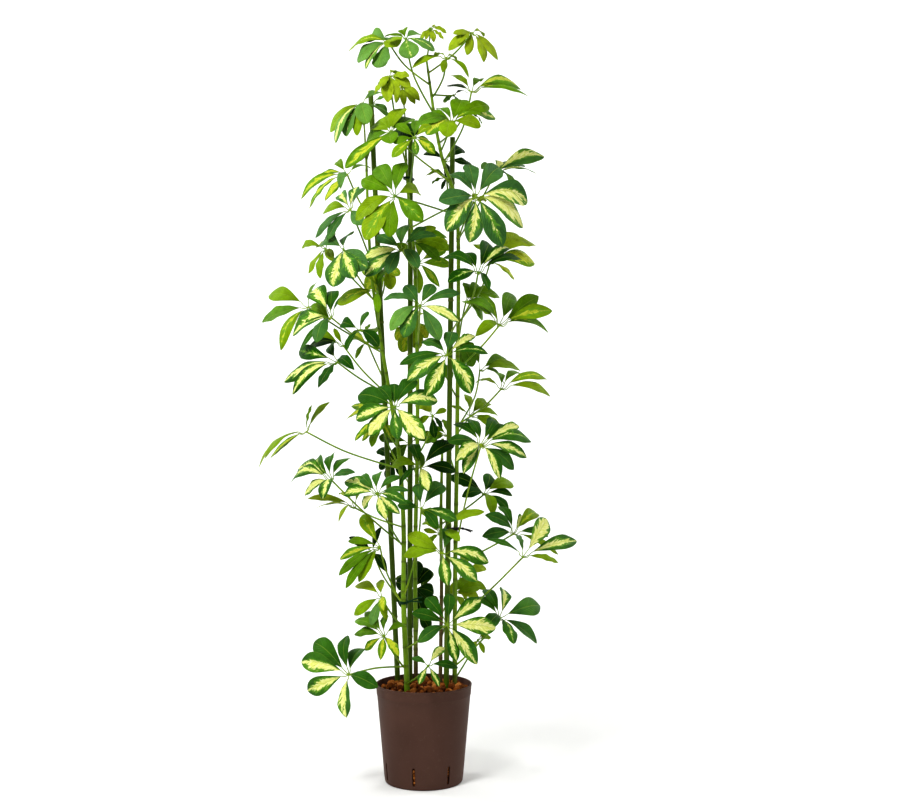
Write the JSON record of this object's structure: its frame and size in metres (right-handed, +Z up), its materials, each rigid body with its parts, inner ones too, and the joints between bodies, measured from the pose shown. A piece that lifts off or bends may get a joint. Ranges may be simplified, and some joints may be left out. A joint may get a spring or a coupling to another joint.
{
  "type": "potted umbrella plant",
  "caption": "Tall variegated umbrella plant with fan-shaped leaves, its stems tied to support canes in a slotted hydroculture pot filled with clay granules.",
  "frame": {"origin": "centre of the pot's flat underside, on the floor", "axes": "+Z up along the pot's axis, -Y towards the front, +X to the viewer's right"},
  "size_m": [0.6162, 0.3818, 1.416],
  "materials": {
    "pot plastic": "matte",
    "clay granules": "matte",
    "cane": "satin",
    "stem": "satin",
    "leaf": "satin",
    "tie": "matte"
  },
  "bodies": {
    "root": {"cane_back": "cane", "cane_left": "cane", "cane_right": "cane", "granules": "clay granules", "leaf_01": "leaf", "leaf_02": "leaf", "leaf_03": "leaf", "leaf_04": "leaf", "leaf_05": "leaf", "leaf_06": "leaf", "leaf_07": "leaf", "leaf_08": "leaf", "leaf_09": "leaf", "leaf_10": "leaf", "leaf_11": "leaf", "leaf_12": "leaf", "leaf_13": "leaf", "leaf_14": "leaf", "leaf_15": "leaf", "leaf_16": "leaf", "leaf_17": "leaf", "leaf_18": "leaf", "leaf_19": "leaf", "leaf_20": "leaf", "leaf_21": "leaf", "leaf_22": "leaf", "leaf_23": "leaf", "leaf_24": "leaf", "leaf_25": "leaf", "leaf_26": "leaf", "leaf_27": "leaf", "leaf_28": "leaf", "leaf_29": "leaf", "leaf_30": "leaf", "leaf_31": "leaf", "leaf_32": "leaf", "leaf_33": "leaf", "leaf_34": "leaf", "leaf_35": "leaf", "leaf_36": "leaf", "leaf_37": "leaf", "leaf_38": "leaf", "leaf_39": "leaf", "leaf_40": "leaf", "leaf_41": "leaf", "leaf_42": "leaf", "leaf_43": "leaf", "leaf_44": "leaf", "leaf_45": "leaf", "leaf_46": "leaf", "leaf_47": "leaf", "pot": "pot plastic", "stem_back": "stem", "stem_left": "stem", "stem_low": "stem", "stem_tall": "stem", "tie_back": "tie", "tie_low": "tie", "tie_middle": "tie", "tie_top": "tie"}
  },
  "joints": []
}
